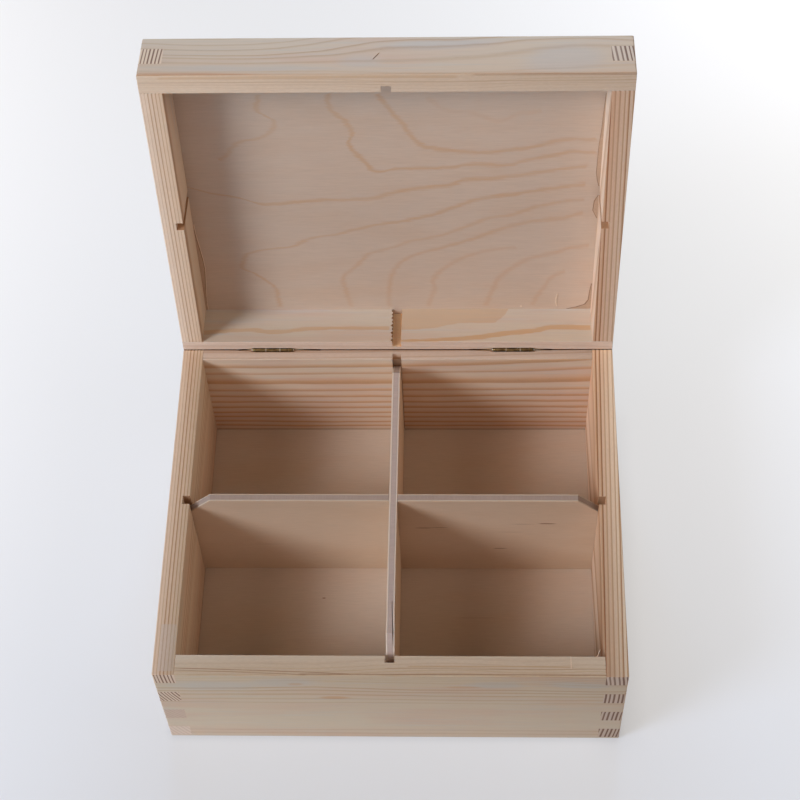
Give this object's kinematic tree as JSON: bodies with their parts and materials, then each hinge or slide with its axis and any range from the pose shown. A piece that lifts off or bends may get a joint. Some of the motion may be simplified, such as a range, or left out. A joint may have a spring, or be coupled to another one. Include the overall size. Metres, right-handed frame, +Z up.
{
  "type": "compartment storage box",
  "caption": "Hinged rectangular wooden box with finger-jointed walls, a lid that folds open, and crossed dividers that part its inside into equal compartments.",
  "frame": {"origin": "middle of the body's underside, on the surface that the box stands on", "axes": "+X to the right, +Y to the back where the hinges are, +Z up; at rest the lid is fully open"},
  "size_m": [0.22, 0.2298, 0.2519],
  "materials": {
    "pine": "sanded, unfinished",
    "panel_plywood": "sanded, unfinished",
    "divider_plywood": "sanded, unfinished",
    "brass": "plain"
  },
  "bodies": {
    "body": {"left_board": "pine", "right_board": "pine", "front_board": "pine", "back_board": "pine", "bottom_panel": "panel_plywood", "long_divider": "divider_plywood", "cross_divider": "divider_plywood", "left_hinge_body_leaf": "brass", "right_hinge_body_leaf": "brass", "left_hinge_pin": "brass", "right_hinge_pin": "brass"},
    "lid": {"lid_left_board": "pine", "lid_right_board": "pine", "lid_front_board": "pine", "lid_back_board": "pine", "lid_panel": "panel_plywood", "left_hinge_lid_leaf": "brass", "right_hinge_lid_leaf": "brass"}
  },
  "joints": [
    {"name": "lid_hinge", "type": "hinge", "parent": "body", "child": "lid", "pos_m": [0, 0.08865, 0.0714], "axis": [1, 0, 0], "range_deg": [0, 97]}
  ]
}
